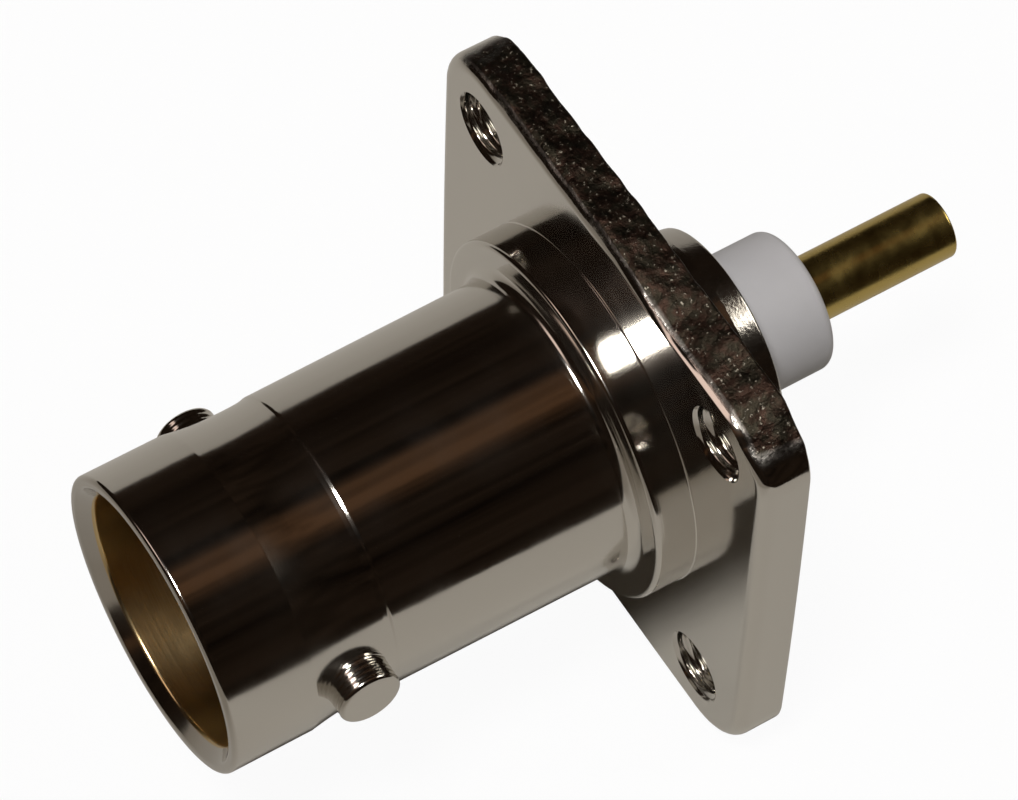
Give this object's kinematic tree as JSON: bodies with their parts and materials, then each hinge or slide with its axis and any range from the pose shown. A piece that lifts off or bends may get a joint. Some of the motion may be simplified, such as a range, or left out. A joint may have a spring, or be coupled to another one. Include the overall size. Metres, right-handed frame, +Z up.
{
  "type": "coaxial panel jack",
  "caption": "Bayonet coaxial jack on a square panel flange: lugged mating sleeve, slotted gold socket, PTFE insulators and a round solder pot at the back.",
  "frame": {"origin": "centre of the four fixing holes, on the flange's rear face, which lies against the panel", "axes": "+Y along the connector's axis from the mouth to the solder pot, +Z up, with the flange's sides level and upright and the two bayonet lugs along X"},
  "size_m": [0.0176, 0.0276, 0.0176],
  "materials": {
    "nickel_plate": "bright nickel plate on a zinc die casting, polished on the turned faces",
    "nickel_ring": "bright nickel plate on turned brass",
    "ptfe": "turned white PTFE, waxy and matte",
    "gold_plate": "thin bright gold plate over turned copper alloy"
  },
  "bodies": {
    "root": {"shell": "nickel_plate", "press_ring": "nickel_ring", "front_insulator": "ptfe", "rear_insulator": "ptfe", "centre_contact": "gold_plate"}
  },
  "joints": []
}
